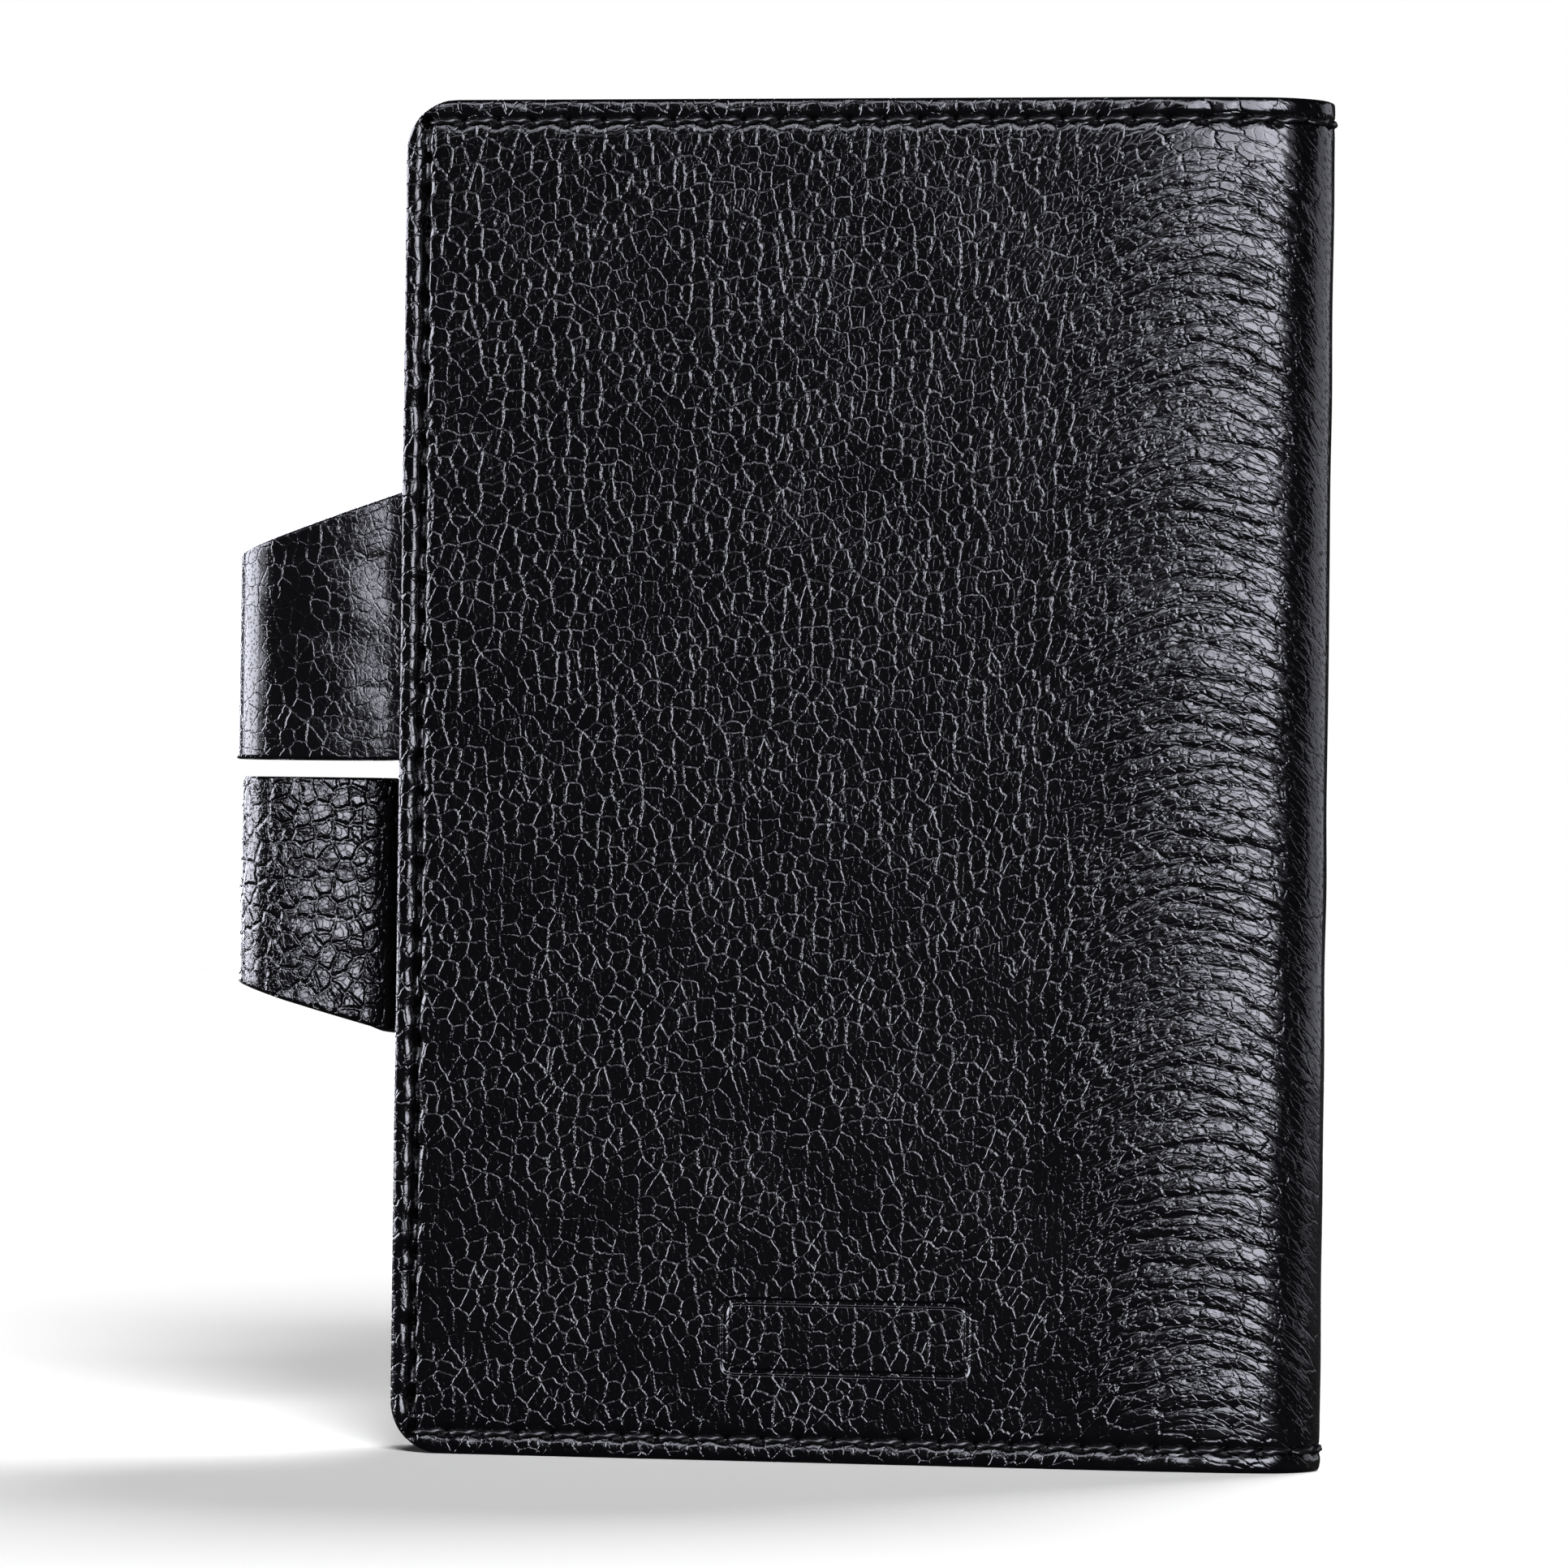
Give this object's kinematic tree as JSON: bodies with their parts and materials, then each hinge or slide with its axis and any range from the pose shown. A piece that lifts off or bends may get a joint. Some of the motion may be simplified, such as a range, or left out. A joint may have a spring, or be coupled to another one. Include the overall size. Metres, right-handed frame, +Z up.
{
  "type": "leather notebook cover",
  "caption": "Upright leather cover for a pocket notebook, folded round its spine, with a pen loop on each cover and a refill notebook held in two sleeves.",
  "frame": {"origin": "middle of the bounding box, on the surface that the lower edge stands on", "axes": "+Z up along the spine, +X towards the spine, -X towards the fore edge and pen loops, -Y out of the back cover, +Y out of the front cover"},
  "size_m": [0.1272, 0.0188, 0.155],
  "materials": {
    "grained_leather": "pebbled full grain, semi-gloss",
    "lining_leather": "smooth split leather, matt",
    "sleeve_leather": "smooth thin leather, satin",
    "waxed_thread": "twisted waxed thread, satin",
    "notebook_card": "uncoated kraft card, matt",
    "paper": "uncoated cream paper, matt"
  },
  "bodies": {
    "back_cover": {"outer_leather_back": "grained_leather", "lining_back": "lining_leather", "sleeve_back": "sleeve_leather", "pen_loop_back": "grained_leather", "seam_thread_back": "waxed_thread", "seam_thread_sleeve_back": "waxed_thread", "notebook_cover_back": "notebook_card", "signature_1": "paper", "signature_2": "paper", "signature_3": "paper", "signature_4": "paper"},
    "spine": {"outer_leather_spine": "grained_leather", "lining_spine": "lining_leather", "notebook_spine": "notebook_card", "seam_thread_spine": "waxed_thread"},
    "front_cover": {"outer_leather_front": "grained_leather", "lining_front": "lining_leather", "sleeve_front": "sleeve_leather", "pen_loop_front": "grained_leather", "seam_thread_front": "waxed_thread", "seam_thread_sleeve_front": "waxed_thread", "notebook_cover_front": "notebook_card"},
    "front_pages": {"signature_5": "paper", "signature_6": "paper", "signature_7": "paper", "signature_8": "paper"}
  },
  "joints": [
    {"name": "spine_hinge", "type": "hinge", "parent": "back_cover", "child": "spine", "pos_m": [0.0565, -0.00792, 0.0775], "axis": [0, 0, -1], "range_deg": [0, 90]},
    {"name": "front_hinge", "type": "hinge", "parent": "spine", "child": "front_cover", "pos_m": [0.0565, 0.00792, 0.0775], "axis": [0, 0, -1], "range_deg": [0, 90]},
    {"name": "page_turn", "type": "hinge", "parent": "back_cover", "child": "front_pages", "pos_m": [0.0564, 0, 0.0775], "axis": [0, 0, -1], "range_deg": [0, 180]}
  ],
  "couplings": [
    {"joint": "front_hinge", "follows": "spine_hinge", "ratio": 1},
    {"joint": "page_turn", "follows": "spine_hinge", "ratio": 2}
  ]
}
